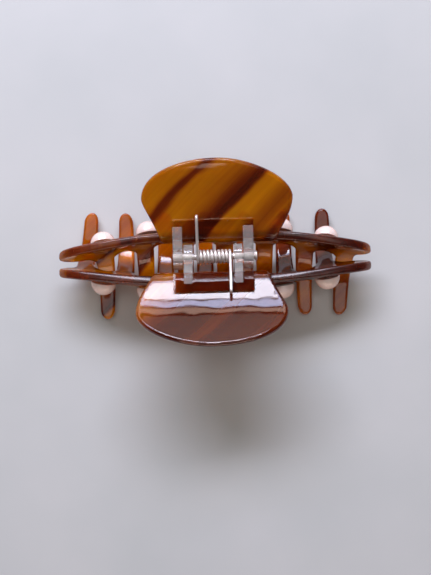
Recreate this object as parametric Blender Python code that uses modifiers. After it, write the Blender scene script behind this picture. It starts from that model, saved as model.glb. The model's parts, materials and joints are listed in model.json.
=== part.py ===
"""A large hair claw clip: two bent tortoiseshell jaws with pearls, on a clear hinge with a torsion spring.

Metres, +Z up. X runs along the bar and +Y points to the back. The clip stands closed on its curved teeth, and
the origin is on the surface under its middle. The front jaw is the back jaw turned half a turn about Z.
Each jaw is drawn as a flat pattern, x along the bar and s down the sheet, from the paddle's edge (s < 0)
past the rim (s = 0) to the teeth's tips (s > 0), and then bent to shape.
"""

import math

import bmesh
import bpy
import numpy as np
from mathutils import Matrix, Vector

MM = 0.001
GAP = 0.3 * MM
TINY = 0.001 * MM

# The sheet that a jaw is bent from
SHEET = 3.2 * MM
PADDLE_EDGE_SHARE = 0.62
PADDLE_THINS_FROM = -6 * MM
TOOTH_TIP_SHARE = 0.72
TOOTH_THINS_FROM = 14 * MM
TOOTH_THIN_AT = 44 * MM
EDGE_ROUND = 0.8 * MM
EDGE_STEPS = 0

# The bar
BAR_HALF = 55.8 * MM
BAR_BAND = 11.0 * MM
NOSE_LENGTH = 7.8 * MM
RIM_Y = 7.1 * MM
RIM_Y_AT_TIP = 3.1 * MM
STRAIGHT_HALF = 18.0 * MM
TAPER_POWER = 1.6
DROOP = 7.5 * MM
DROOP_POWER = 3.5
LEAN = math.radians(20)

# The teeth
TOOTH_COUNT = 7
TOOTH_PITCH = 14.35 * MM
TOOTH_OFFSET = TOOTH_PITCH / 4
TOOTH_HALF = 3.2 * MM
TOOTH_TIP_HALF = 2.6 * MM
TOOTH_TIP_ROUND = 4.0 * MM
TOOTH_REACH = 19.2 * MM
TOOTH_DEPTH = 21.6 * MM
LAST_TOOTH_LEAN = 1.6 * MM
END_ROOT = 2.0 * MM

# The paddle
PADDLE_SHIFT = 1.3 * MM
PADDLE_HALF = 25.9 * MM
PADDLE_LENGTH = 32.4 * MM
PADDLE_WIDEST = 17.5 * MM
RIGHT_FLARE = (0.35, 0.38, 0.66)
LEFT_FLARE = (0.2, 0.42, 0.85)
RIGHT_FULLNESS = 0.43
LEFT_FULLNESS = 0.55
NECK_HALF = 19.6 * MM
NECK_ROUND = 1.6 * MM

# The sheet's bend: its heading at distances s, in degrees from straight down. A plus sign turns outwards and
# a minus sign inwards.
BEND_S = np.array([-34, -28, -20, -12, -6, -4.5, -3, -1.5, 0, 3, 6, 9, 12, 18, 24, 30, 38, 50]) * MM
BEND_DEG = np.array([-43, -48, -57, -66, -68, -55, -28, 5, 26, 16, 2, -10, -20, -42, -68, -88, -97, -101])
LEAN_FULL_TO = 6 * MM
LEAN_NONE_FROM = 24 * MM
LEAN_GROWTH = 1.5
BEND_STEP = 0.25 * MM

# The pearls
PEARL_RADIUS = 4.45 * MM
PEARL_X = (-39.7 * MM, -23.4 * MM, 23.4 * MM, 39.7 * MM)
PEARL_S = 7.2 * MM
PEARL_PROUD = 0.3 * MM

# The hinge
PIN_ABOVE_RIM = 3.0 * MM
PIN_RADIUS = 1.1 * MM
PIN_LEFT = -14.4 * MM
PIN_RIGHT = 13.9 * MM
HEAD_RADIUS = 1.7 * MM
HEAD_THICK = 0.8 * MM
BORE_RADIUS = 1.3 * MM
EYE_RADIUS = 4.3 * MM
LEAF_LEFT = -14.2 * MM
LEAF_RIGHT = 13.4 * MM
LEAF_THICK = 1.4 * MM
LEAF_NEAR = 5.9 * MM
LEAF_FAR = 11.9 * MM
LEAF_TOP_SLOPE = math.tan(math.radians(15))
LEAF_TOP_WIDTH = 3.0 * MM
LEAF_DRAFT = 0.3 * MM
LEAF_SHOULDER = 0.8 * MM
EAR_SHORT = 1.9 * MM
EAR_PROUD = 0.15 * MM
EAR_SUNK = 0.4 * MM
EYE_FROM, EYE_TO = 70, 335
OUTER_EARS = ((-14.2 * MM, -10.9 * MM), (9.9 * MM, 13.4 * MM))
INNER_EARS = ((-10.6 * MM, -7.6 * MM), (6.8 * MM, 9.6 * MM))

# The spring
WIRE_RADIUS = 0.5 * MM
COIL_RADIUS = 2.0 * MM
COIL_LEFT = -5.8 * MM
COIL_RIGHT = 5.4 * MM
COIL_TURNS = 9
COIL_POINTS = 12
LEG_RISE = math.radians(25.5)
LEG_LENGTH = 14.9 * MM
LEG_HOOK = (0.6 * MM, -0.96 * MM)
LEG_BENDS = (0.15, 0.9)

# How round the turned and curved pieces are
OUTLINE_STEPS = 6
PEARL_SEGMENTS, PEARL_RINGS = 16, 11
EYE_STEPS = 14
BORE_SIDES = 24
PIN_SIDES = 20
PIN_CHAMFER = 0.25 * MM
SMOOTH_BELOW = math.radians(35)
PEARL_SMOOTH_BELOW = math.radians(50)

# How finely the pattern is cut before it is bent
CUTS_X = [i * 5.5 * MM for i in range(-9, 10)]
CUTS_S = [s * MM for s in (-28, -24, -20, -16, -12, -9, -6.7, -5.2, -4, -3, -2, -1, 0.4, 2.5, 5, 7.5, 10)]
CUTS_S += [s * MM for s in (12.5, 15, 17.5, 20, 22.5, 25, 28, 31.5, 36)]

ACETATE = (0.38, 0.13, 0.02, 1.0)
PEARL_WHITE = (0.86, 0.76, 0.72, 1.0)
CLEAR = (0.86, 0.84, 0.82, 0.4)
STEEL = (0.74, 0.73, 0.71, 1.0)


def clear_scene():
    for obj in list(bpy.data.objects):
        bpy.data.objects.remove(obj)


def make_collection(name):
    collection = bpy.data.collections.new(name)
    bpy.context.scene.collection.children.link(collection)
    return collection


def make_material(name, colour, roughness, metallic=0.0):
    material = bpy.data.materials.new(name)
    material.use_nodes = True
    shader = material.node_tree.nodes["Principled BSDF"]
    shader.inputs["Base Color"].default_value = colour
    shader.inputs["Alpha"].default_value = colour[3]
    shader.inputs["Roughness"].default_value = roughness
    shader.inputs["Metallic"].default_value = metallic
    return material


def rim_y(x):
    """Distance of the rim's mid-line from the clip's mid-plane: straight by the neck, closing to the tips."""
    share = max(0.0, abs(x) - STRAIGHT_HALF) / (BAR_HALF - STRAIGHT_HALF)
    return RIM_Y - (RIM_Y - RIM_Y_AT_TIP) * share**TAPER_POWER


def rim_drop(x):
    """How far the rim hangs below its height at the neck."""
    return DROOP * (abs(x) / BAR_HALF) ** DROOP_POWER


def lean(x, s):
    """How far the wall leans inwards where the bar tapers, as an angle."""
    share = min(1.0, max(0.0, abs(x) - STRAIGHT_HALF) / (BAR_HALF - STRAIGHT_HALF) * LEAN_GROWTH)
    below = np.clip((LEAN_NONE_FROM - s) / (LEAN_NONE_FROM - LEAN_FULL_TO), 0, 1)
    above = np.clip(1 + s / LEAN_FULL_TO, 0, 1)
    return LEAN * share * below * above


class Section:
    """The bent mid-line of the sheet, cut across the bar at x. Heights are from the rim at the neck."""

    def __init__(self, x):
        self.s = np.arange(BEND_S[0], BEND_S[-1] + BEND_STEP / 2, BEND_STEP)
        self.heading = np.radians(np.interp(self.s, BEND_S, BEND_DEG)) - lean(x, self.s)
        shrink = 1 - rim_drop(x) / TOOTH_DEPTH
        length = np.where(self.s > 0, shrink, 1.0) * BEND_STEP
        y = np.cumsum(np.sin(self.heading) * length)
        z = np.cumsum(-np.cos(self.heading) * length)
        self.y = y - np.interp(0, self.s, y) + rim_y(x)
        self.z = z - np.interp(0, self.s, z) - rim_drop(x)

    def at(self, s):
        return tuple(float(np.interp(s, self.s, row)) for row in (self.y, self.z, self.heading))

    def reach(self, inwards):
        """The distance s at which the mid-line has crossed the mid-plane and gone this far past it."""
        below = self.s > 0
        return float(self.s[below][np.argmax(self.y[below] < -inwards)])


def thickness_share(s):
    """The sheet thins towards the paddle's edge and the teeth's tips."""
    places = (-PADDLE_LENGTH, PADDLE_THINS_FROM, TOOTH_THINS_FROM, TOOTH_THIN_AT)
    return float(np.interp(s, places, (PADDLE_EDGE_SHARE, 1, 1, TOOTH_TIP_SHARE)))


def bent_point(x, s, w, sections):
    """Where a point of the flat pattern ends up: w is its distance from the sheet's mid-surface, + outside."""
    key = round(x, 7)
    if key not in sections:
        sections[key] = Section(x)
    y, z, heading = sections[key].at(s)
    w *= thickness_share(s)
    return Vector((x, y + w * math.cos(heading), z + w * math.sin(heading)))


def rim_height():
    """The neck rim's height when the teeth stand on z = 0."""
    middle = Section(0)
    half = np.array([thickness_share(s) for s in middle.s]) * SHEET / 2
    return -float(np.min(middle.z + half * np.sin(middle.heading)))


def arc(centre, radii, start, end, steps):
    """Points of an elliptical arc, from start to end in degrees."""
    angles = [math.radians(start + (end - start) * i / steps) for i in range(steps + 1)]
    return [(centre[0] + radii[0] * math.cos(a), centre[1] + radii[1] * math.sin(a)) for a in angles]


def bezier(p0, p1, p2, p3, steps):
    points = []
    for i in range(steps + 1):
        t = i / steps
        weights = ((1 - t) ** 3, 3 * t * (1 - t) ** 2, 3 * t * t * (1 - t), t**3)
        points.append(tuple(sum(w * p[k] for w, p in zip(weights, (p0, p1, p2, p3))) for k in (0, 1)))
    return points


def paddle_side(side, steps):
    """The paddle's side edge, from the neck's fillet up to its widest point. side is 1 on the right."""
    out, rise, full = RIGHT_FLARE if side > 0 else LEFT_FLARE
    return bezier(
        (PADDLE_SHIFT + side * NECK_HALF, NECK_ROUND),
        (PADDLE_SHIFT + side * (NECK_HALF + out * (PADDLE_HALF - NECK_HALF)), rise * PADDLE_WIDEST),
        (PADDLE_SHIFT + side * PADDLE_HALF, full * PADDLE_WIDEST),
        (PADDLE_SHIFT + side * PADDLE_HALF, PADDLE_WIDEST),
        steps,
    )


def paddle_quarter(side, fullness, steps):
    """The paddle's free edge from its widest point on one side to the top of its crown."""
    rise = PADDLE_LENGTH - PADDLE_WIDEST
    return bezier(
        (PADDLE_SHIFT + side * PADDLE_HALF, PADDLE_WIDEST),
        (PADDLE_SHIFT + side * PADDLE_HALF, PADDLE_WIDEST + fullness * rise),
        (PADDLE_SHIFT + side * fullness * PADDLE_HALF, PADDLE_LENGTH),
        (PADDLE_SHIFT, PADDLE_LENGTH),
        steps,
    )


def tooth_outline(x, tip_x, root, tip_steps):
    """A tooth's sides and round tip, from the left root down and up to the right root."""
    tip = Section(x).reach(TOOTH_REACH)
    round_tip = arc((tip_x, TOOTH_TIP_ROUND - tip), (TOOTH_TIP_HALF, TOOTH_TIP_ROUND), 180, 360, tip_steps)
    return [(x - TOOTH_HALF, -root), *round_tip, (x + TOOTH_HALF, -root)]


def jaw_outline(steps):
    """The flat pattern's outline, counter-clockwise, as (x, -s)."""
    right_top = paddle_quarter(1, RIGHT_FULLNESS, 2 * steps)
    left_top = paddle_quarter(-1, LEFT_FULLNESS, 2 * steps)[-2::-1]
    fillet = (NECK_ROUND, NECK_ROUND)
    right_neck = arc((PADDLE_SHIFT + NECK_HALF + NECK_ROUND, NECK_ROUND), fillet, 270, 180, steps // 2)
    left_neck = arc((PADDLE_SHIFT - NECK_HALF - NECK_ROUND, NECK_ROUND), fillet, 0, -90, steps // 2)
    right_side = right_neck[:-1] + paddle_side(1, steps)[:-1]
    left_side = paddle_side(-1, steps)[-2:0:-1] + left_neck
    paddle = right_side + right_top + left_top + left_side

    nose = (NOSE_LENGTH, BAR_BAND / 2)
    nose_x = BAR_HALF - NOSE_LENGTH
    left_nose = arc((-nose_x, -BAR_BAND / 2), nose, 90, 270, 2 * steps)

    slot = TOOTH_PITCH / 2 - TOOTH_HALF
    root = BAR_BAND + slot
    centres = [TOOTH_OFFSET + (k - TOOTH_COUNT // 2) * TOOTH_PITCH for k in range(TOOTH_COUNT)]
    bottom = arc((centres[0] - TOOTH_HALF - slot, -root), (slot, slot), 90, 0, steps // 2)[:-1]
    for x in centres[:-1]:
        bottom += tooth_outline(x, x, root, steps)
        bottom += arc((x + TOOTH_PITCH / 2, -root), (slot, slot), 180, 0, steps)[1:-1]
    bottom += tooth_outline(centres[-1], centres[-1] - LAST_TOOTH_LEAN, root, steps)

    end_x = centres[-1] + TOOTH_HALF + END_ROOT
    nose_angle = -math.degrees(math.acos((end_x - nose_x) / NOSE_LENGTH))
    right_nose = arc((nose_x, -BAR_BAND / 2), nose, nose_angle, 90, 2 * steps)
    rise = root + right_nose[0][1]
    end_root = arc((end_x, -root), (END_ROOT, rise), 180, 90, steps // 2)[1:-1]
    return paddle + left_nose + bottom + end_root + right_nose


def flat_slab(name, outline):
    """A mesh of the outline as a flat slab of the sheet's thickness with rounded edges."""
    curve = bpy.data.curves.new(name, "CURVE")
    curve.dimensions = "2D"
    curve.fill_mode = "BOTH"
    curve.bevel_depth = EDGE_ROUND
    curve.bevel_resolution = EDGE_STEPS
    curve.extrude = SHEET / 2 - EDGE_ROUND
    curve.offset = -EDGE_ROUND
    spline = curve.splines.new("POLY")
    spline.points.add(len(outline) - 1)
    for point, (x, v) in zip(spline.points, outline):
        point.co = (x, v, 0, 1)
    spline.use_cyclic_u = True
    holder = bpy.data.objects.new(name, curve)
    bpy.context.scene.collection.objects.link(holder)
    graph = bpy.context.evaluated_depsgraph_get()
    mesh = bpy.data.meshes.new_from_object(holder.evaluated_get(graph))
    bpy.data.objects.remove(holder)
    return mesh


def make_jaw_mesh():
    """The flat pattern, cut into strips so that it can bend, and bent."""
    mesh = flat_slab("jaw", jaw_outline(OUTLINE_STEPS))
    shape = bmesh.new()
    shape.from_mesh(mesh)
    bmesh.ops.remove_doubles(shape, verts=shape.verts, dist=TINY)
    bmesh.ops.dissolve_limit(shape, angle_limit=math.radians(0.5), verts=shape.verts, edges=shape.edges)
    for s in CUTS_S:
        cut_across(shape, (0, -s, 0), (0, 1, 0))
    for x in CUTS_X:
        cut_across(shape, (x, 0, 0), (1, 0, 0))
    bmesh.ops.triangulate(shape, faces=shape.faces)
    bmesh.ops.recalc_face_normals(shape, faces=shape.faces)
    sections = {}
    for vertex in shape.verts:
        vertex.co = bent_point(vertex.co.x, -vertex.co.y, vertex.co.z, sections)
    # Taking the pattern's third axis to +Y mirrors the shape, so its faces are turned back.
    bmesh.ops.reverse_faces(shape, faces=shape.faces)
    shape.to_mesh(mesh)
    shape.free()
    mesh.shade_smooth()
    mesh.set_sharp_from_angle(angle=SMOOTH_BELOW)
    return mesh


def cut_across(shape, point, normal):
    """Adds edges where the plane crosses the shape."""
    everything = shape.verts[:] + shape.edges[:] + shape.faces[:]
    bmesh.ops.bisect_plane(shape, geom=everything, dist=TINY, plane_co=point, plane_no=normal)


def outside_frame(x, s):
    """A matrix at the jaw's outer surface whose Z axis points straight out of it."""
    step = 0.5 * MM
    sections = {}
    centre = bent_point(x, s, SHEET / 2, sections)
    along_x = bent_point(x + step, s, SHEET / 2, sections) - bent_point(x - step, s, SHEET / 2, sections)
    along_s = bent_point(x, s + step, SHEET / 2, sections) - bent_point(x, s - step, SHEET / 2, sections)
    out = along_s.cross(along_x).normalized()
    if out.y < 0:
        out = -out
    side = along_x.normalized()
    return Matrix.Translation(centre) @ Matrix((side, out.cross(side), out)).transposed().to_4x4()


def make_pearl_mesh():
    """A ball with a flat back at its own z = 0."""
    shape = bmesh.new()
    bmesh.ops.create_uvsphere(shape, u_segments=PEARL_SEGMENTS, v_segments=PEARL_RINGS, radius=PEARL_RADIUS)
    bmesh.ops.translate(shape, verts=shape.verts, vec=(0, 0, PEARL_PROUD))
    everything = shape.verts[:] + shape.edges[:] + shape.faces[:]
    cut = bmesh.ops.bisect_plane(
        shape, geom=everything, dist=TINY, plane_co=(0, 0, 0), plane_no=(0, 0, 1), clear_inner=True
    )
    rim = [item for item in cut["geom_cut"] if isinstance(item, bmesh.types.BMEdge)]
    bmesh.ops.contextual_create(shape, geom=rim)
    bmesh.ops.recalc_face_normals(shape, faces=shape.faces)
    mesh = bpy.data.meshes.new("pearl")
    shape.to_mesh(mesh)
    shape.free()
    mesh.shade_smooth()
    mesh.set_sharp_from_angle(angle=PEARL_SMOOTH_BELOW)
    return mesh


def prism(outline, left, right):
    """A bmesh of an outline in Y and Z, drawn out along X."""
    shape = bmesh.new()
    face = shape.faces.new([shape.verts.new((left, y, z)) for y, z in outline])
    drawn = bmesh.ops.extrude_face_region(shape, geom=[face])
    moved = [item for item in drawn["geom"] if isinstance(item, bmesh.types.BMVert)]
    bmesh.ops.translate(shape, verts=moved, vec=(right - left, 0, 0))
    bmesh.ops.recalc_face_normals(shape, faces=shape.faces)
    return shape


def to_object(shape, name, collection):
    mesh = bpy.data.meshes.new(name)
    shape.to_mesh(mesh)
    shape.free()
    obj = bpy.data.objects.new(name, mesh)
    collection.objects.link(obj)
    return obj


def paddle_top(y):
    """Height of the back paddle's upper surface at y, from the pin's axis."""
    section = Section(0)
    half = np.array([thickness_share(s) for s in section.s]) * SHEET / 2
    upper = section.s < -5 * MM
    top_y = (section.y - half * np.cos(section.heading))[upper]
    top_z = (section.z - half * np.sin(section.heading))[upper]
    return float(np.interp(y, top_y[::-1], top_z[::-1])) - PIN_ABOVE_RIM


def plate_outline():
    """The leaf's plate from the side: it lies just over the paddle's base, and its top is flatter than that."""
    far = paddle_top(LEAF_FAR) + GAP
    slope = (far - GAP - paddle_top(LEAF_FAR - LEAF_TOP_WIDTH)) / LEAF_TOP_WIDTH
    near = far - slope * (LEAF_FAR - LEAF_NEAR)
    lift = LEAF_THICK * math.hypot(1, slope)
    top_end = LEAF_FAR - LEAF_DRAFT
    return [
        (LEAF_NEAR, near),
        (LEAF_FAR, far),
        (top_end, far + lift),
        (top_end - LEAF_TOP_WIDTH, far + lift - LEAF_TOP_WIDTH * LEAF_TOP_SLOPE),
        (LEAF_NEAR + LEAF_SHOULDER, near + lift + LEAF_SHOULDER * slope),
        (LEAF_NEAR, near + lift / 2),
    ]


def ear_outline():
    """An ear from the side: a round eye about the pin, and a web that runs into the plate."""
    near, far, far_top = plate_outline()[:3]
    slope = (far[1] - near[1]) / (far[0] - near[0])
    eye = arc((0, 0), (EYE_RADIUS, EYE_RADIUS), EYE_FROM, EYE_TO, EYE_STEPS)
    bottom = (near[0] + EAR_SUNK / 2, near[1] + EAR_SUNK)
    inner = (far[0] - EAR_SHORT, far[1] - EAR_SHORT * slope + EAR_SUNK)
    top = (far_top[0] - EAR_SHORT, far_top[1] - EAR_SHORT * LEAF_TOP_SLOPE + EAR_PROUD)
    return [*eye, bottom, inner, top]


def add_boolean(obj, operation, other):
    modifier = obj.modifiers.new(f"{operation.lower()} {other.name}", "BOOLEAN")
    modifier.operation = operation
    modifier.solver = "EXACT"
    modifier.object = other


def hide_helper(obj, owner):
    obj.hide_render = True
    obj.display_type = "WIRE"
    obj.parent = owner


def make_leaf(name, plate_span, ears, parts, helpers):
    """A clear leaf: a plate with two ears, bored for the pin."""
    leaf = to_object(prism(plate_outline(), *plate_span), name, parts)
    for number, (left, right) in enumerate(ears, 1):
        ear = to_object(prism(ear_outline(), left, right), f"{name}_ear_{number}", helpers)
        hide_helper(ear, leaf)
        add_boolean(leaf, "UNION", ear)
    circle = arc((0, 0), (BORE_RADIUS, BORE_RADIUS), 0, 360, BORE_SIDES)[:-1]
    bore = prism(circle, 2 * LEAF_LEFT, -2 * LEAF_LEFT)
    cutter = to_object(bore, f"{name}_bore", helpers)
    hide_helper(cutter, leaf)
    add_boolean(leaf, "DIFFERENCE", cutter)
    return leaf


def screw_about_x(name, profile, collection, steps):
    """A turned piece on the X axis. profile is (radius, x), from its right end down to its left."""
    mesh = bpy.data.meshes.new(name)
    shape = bmesh.new()
    points = [shape.verts.new((radius, 0, x)) for radius, x in profile]
    for a, b in zip(points, points[1:]):
        shape.edges.new((a, b))
    shape.to_mesh(mesh)
    shape.free()
    obj = bpy.data.objects.new(name, mesh)
    collection.objects.link(obj)
    modifier = obj.modifiers.new("turn", "SCREW")
    modifier.steps = steps
    modifier.render_steps = steps
    modifier.use_merge_vertices = True
    modifier.merge_threshold = TINY
    obj.rotation_euler = (0, math.radians(90), 0)
    return obj


def make_pin(collection):
    """The pin, with a wide head at its right end and a chamfer at both ends."""
    head_end = PIN_RIGHT + HEAD_THICK
    profile = [
        (0, head_end),
        (HEAD_RADIUS - PIN_CHAMFER, head_end),
        (HEAD_RADIUS, head_end - PIN_CHAMFER),
        (HEAD_RADIUS, PIN_RIGHT),
        (PIN_RADIUS, PIN_RIGHT),
        (PIN_RADIUS, PIN_LEFT + PIN_CHAMFER),
        (PIN_RADIUS - PIN_CHAMFER, PIN_LEFT),
        (0, PIN_LEFT),
    ]
    return screw_about_x("hinge_pin", profile, collection, PIN_SIDES)


def leg_points(side):
    """A spring leg's own points as (y, z), from the coil out. side is 1 for the leg over the back leaf."""
    start = Vector((-side * COIL_RADIUS * math.sin(LEG_RISE), COIL_RADIUS * math.cos(LEG_RISE)))
    along = Vector((side * math.cos(LEG_RISE), math.sin(LEG_RISE)))
    end = start + along * LEG_LENGTH
    hook = end + Vector((side * LEG_HOOK[0], LEG_HOOK[1]))
    return [start.lerp(end, LEG_BENDS[0]), start.lerp(end, LEG_BENDS[1]), end, hook]


def make_spring(collection):
    """One wire: the left leg over the back leaf, the coil about the pin, the right leg over the front leaf."""
    begin = math.radians(90) + LEG_RISE
    turned = 2 * math.pi * COIL_TURNS - 2 * LEG_RISE
    count = COIL_TURNS * COIL_POINTS
    coil = []
    for i in range(count + 1):
        t = i / count
        angle = begin + t * turned
        x = COIL_LEFT + (COIL_RIGHT - COIL_LEFT) * t
        coil.append((x, COIL_RADIUS * math.cos(angle), COIL_RADIUS * math.sin(angle)))
    back_leg = [(COIL_LEFT, y, z) for y, z in reversed(leg_points(1))]
    front_leg = [(COIL_RIGHT, y, z) for y, z in leg_points(-1)]
    curve = bpy.data.curves.new("torsion_spring", "CURVE")
    curve.dimensions = "3D"
    curve.bevel_depth = WIRE_RADIUS
    curve.bevel_resolution = 2
    curve.use_fill_caps = True
    spline = curve.splines.new("POLY")
    points = back_leg + coil + front_leg
    spline.points.add(len(points) - 1)
    for point, place in zip(spline.points, points):
        point.co = (*place, 1)
    obj = bpy.data.objects.new("torsion_spring", curve)
    collection.objects.link(obj)
    return obj


def make_empty(name, location, turn, collection):
    empty = bpy.data.objects.new(name, None)
    empty.location = location
    empty.rotation_euler = (0, 0, turn)
    collection.objects.link(empty)
    return empty


def attach(obj, pivot, material):
    """Parents a piece to its pivot, which is on the hinge's axis, and gives it its material."""
    obj.parent = pivot
    obj.data.materials.append(material)


def make_jaw_group(side, pivot, jaw_mesh, pearl_mesh, materials, parts):
    """One jaw with its pearls, drawn as the back one. Its pivot turns the front one round."""
    acetate, pearl_white = materials
    down = Matrix.Translation((0, 0, -PIN_ABOVE_RIM))
    jaw = bpy.data.objects.new(f"jaw_{side}", jaw_mesh)
    parts.objects.link(jaw)
    jaw.parent = pivot
    jaw.matrix_local = down
    if not jaw_mesh.materials:
        jaw_mesh.materials.append(acetate)
        pearl_mesh.materials.append(pearl_white)
    for number, x in enumerate(PEARL_X, 1):
        pearl = bpy.data.objects.new(f"pearl_{side}_{number}", pearl_mesh)
        parts.objects.link(pearl)
        pearl.parent = pivot
        pearl.matrix_local = down @ outside_frame(x, PEARL_S) @ Matrix.Translation((0, 0, GAP))


def main():
    clear_scene()
    parts = make_collection("hair_claw_clip")
    helpers = make_collection("cutters")
    helpers.hide_render = True
    acetate = make_material("tortoiseshell_acetate", ACETATE, 0.12)
    pearl_white = make_material("pearl", PEARL_WHITE, 0.2)
    clear = make_material("clear_plastic", CLEAR, 0.06)
    steel = make_material("spring_steel", STEEL, 0.25, 1.0)

    pin_height = rim_height() + PIN_ABOVE_RIM
    back_pivot = make_empty("back_jaw_pivot", (0, 0, pin_height), 0, parts)
    front_pivot = make_empty("front_jaw_pivot", (0, 0, pin_height), math.pi, parts)
    jaw_mesh = make_jaw_mesh()
    pearl_mesh = make_pearl_mesh()
    for side, pivot in (("back", back_pivot), ("front", front_pivot)):
        make_jaw_group(side, pivot, jaw_mesh, pearl_mesh, (acetate, pearl_white), parts)

    span = (LEAF_LEFT, LEAF_RIGHT)
    back_leaf = make_leaf("hinge_leaf_back", span, OUTER_EARS, parts, helpers)
    front_leaf = make_leaf("hinge_leaf_front", turned(span), [turned(e) for e in INNER_EARS], parts, helpers)
    attach(back_leaf, back_pivot, clear)
    attach(front_leaf, front_pivot, clear)
    attach(make_pin(parts), back_pivot, steel)
    attach(make_spring(parts), back_pivot, steel)


def turned(span):
    """The same stretch along X, for a piece that its pivot turns half round."""
    return (-span[1], -span[0])


main()
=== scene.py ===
"""Looks for the hair claw clip: tortoiseshell jaws, pearls, a clear hinge, a steel pin and a spring.

Metres, +Z up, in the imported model's frame. X runs along the bar and +Y points to the back. A jaw is drawn
as a flat pattern, x along the bar and s down the sheet, from the paddle's edge (s < 0) past the rim (s = 0)
to the teeth's tips (s > 0). It is bent along the same line as the CAD jaw that it stands for, but finely
enough to shine.
"""

import json
import math

import bmesh
import bpy
import numpy as np
from mathutils import Matrix, Vector


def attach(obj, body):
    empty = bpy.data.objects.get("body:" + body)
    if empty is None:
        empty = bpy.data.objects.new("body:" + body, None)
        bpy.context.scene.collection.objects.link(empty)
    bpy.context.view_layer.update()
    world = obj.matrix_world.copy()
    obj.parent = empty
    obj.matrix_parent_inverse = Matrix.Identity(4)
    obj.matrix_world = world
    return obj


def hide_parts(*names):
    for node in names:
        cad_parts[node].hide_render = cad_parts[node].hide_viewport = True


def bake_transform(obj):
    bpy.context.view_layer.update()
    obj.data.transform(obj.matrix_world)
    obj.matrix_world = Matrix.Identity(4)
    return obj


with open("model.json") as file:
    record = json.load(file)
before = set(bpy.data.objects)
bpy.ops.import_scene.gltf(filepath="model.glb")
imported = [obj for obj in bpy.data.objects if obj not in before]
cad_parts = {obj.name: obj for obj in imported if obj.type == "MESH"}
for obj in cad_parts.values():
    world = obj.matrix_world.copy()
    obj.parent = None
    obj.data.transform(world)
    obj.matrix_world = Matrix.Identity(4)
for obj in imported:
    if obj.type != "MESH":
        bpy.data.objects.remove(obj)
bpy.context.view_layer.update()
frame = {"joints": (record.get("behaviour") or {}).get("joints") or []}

MM = 0.001
GAP = 0.3 * MM
TINY = 0.001 * MM
PIN_CENTRE = Vector(frame["joints"][0]["pos_m"])

# The sheet that a jaw is bent from
SHEET = 3.2 * MM
PADDLE_EDGE_SHARE = 0.62
PADDLE_THINS_FROM = -6 * MM
TOOTH_TIP_SHARE = 0.72
TOOTH_THINS_FROM = 14 * MM
TOOTH_THIN_AT = 44 * MM
EDGE_ROUND = 1.1 * MM

# The bar
BAR_HALF = 55.8 * MM
BAR_BAND = 11.0 * MM
NOSE_LENGTH = 7.8 * MM
RIM_Y = 7.1 * MM
RIM_Y_AT_TIP = 3.1 * MM
STRAIGHT_HALF = 18.0 * MM
TAPER_POWER = 1.6
DROOP = 7.5 * MM
DROOP_POWER = 3.5
LEAN = math.radians(20)

# The teeth
TOOTH_COUNT = 7
TOOTH_PITCH = 14.35 * MM
TOOTH_OFFSET = TOOTH_PITCH / 4
TOOTH_HALF = 3.2 * MM
TOOTH_TIP_HALF = 2.6 * MM
TOOTH_TIP_ROUND = 4.0 * MM
TOOTH_REACH = 19.2 * MM
TOOTH_DEPTH = 21.6 * MM
LAST_TOOTH_LEAN = 1.6 * MM
END_ROOT = 2.0 * MM

# The paddle
PADDLE_SHIFT = 1.3 * MM
PADDLE_HALF = 25.9 * MM
PADDLE_LENGTH = 32.4 * MM
PADDLE_WIDEST = 17.5 * MM
RIGHT_FLARE = (0.35, 0.38, 0.66)
LEFT_FLARE = (0.2, 0.42, 0.85)
RIGHT_FULLNESS = 0.43
LEFT_FULLNESS = 0.55
NECK_HALF = 19.6 * MM
NECK_ROUND = 1.6 * MM

# The sheet's bend: its heading at distances s, in degrees from straight down. A plus sign turns outwards
# and a minus sign inwards.
BEND_S = np.array([-34, -28, -20, -12, -6, -4.5, -3, -1.5, 0, 3, 6, 9, 12, 18, 24, 30, 38, 50]) * MM
BEND_DEG = np.array([-43, -48, -57, -66, -68, -55, -28, 5, 26, 16, 2, -10, -20, -42, -68, -88, -97, -101])
LEAN_FULL_TO = 6 * MM
LEAN_NONE_FROM = 24 * MM
LEAN_GROWTH = 1.5
BEND_STEP = 0.25 * MM

# The pearls
PEARL_RADIUS = 4.45 * MM
PEARL_X = (-39.7 * MM, -23.4 * MM, 23.4 * MM, 39.7 * MM)
PEARL_S = 7.2 * MM
PEARL_PROUD = 0.3 * MM

# The hinge
PIN_ABOVE_RIM = 3.0 * MM
PIN_RADIUS = 1.1 * MM
PIN_LEFT = -14.4 * MM
PIN_RIGHT = 13.9 * MM
HEAD_RADIUS = 1.7 * MM
HEAD_THICK = 0.8 * MM
BORE_RADIUS = 1.3 * MM
EYE_RADIUS = 4.3 * MM
LEAF_LEFT = -14.2 * MM
LEAF_RIGHT = 13.4 * MM
LEAF_THICK = 1.4 * MM
LEAF_NEAR = 5.9 * MM
LEAF_FAR = 11.9 * MM
LEAF_TOP_SLOPE = math.tan(math.radians(15))
LEAF_TOP_WIDTH = 3.0 * MM
LEAF_DRAFT = 0.3 * MM
LEAF_SHOULDER = 0.8 * MM
LEAF_BOND = 0.08 * MM
EAR_SHORT = 1.9 * MM
EAR_PROUD = 0.15 * MM
EAR_SUNK = 0.4 * MM
EYE_FROM, EYE_TO = 70, 335
OUTER_EARS = ((-14.2 * MM, -10.9 * MM), (9.9 * MM, 13.4 * MM))
INNER_EARS = ((-10.6 * MM, -7.6 * MM), (6.8 * MM, 9.6 * MM))

# The spring
WIRE_RADIUS = 0.5 * MM
COIL_RADIUS = 2.0 * MM
COIL_LEFT = -5.8 * MM
COIL_RIGHT = 5.4 * MM
COIL_TURNS = 9
COIL_POINTS = 32
LEG_RISE = math.radians(25.5)
LEG_LENGTH = 14.9 * MM
LEG_HOOK = (0.6 * MM, -0.96 * MM)
LEG_STRAIGHT = (0.04, 0.96)
HOOK_SHARES = (0.12, 0.5)
WIRE_DOME = 0.35

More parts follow.
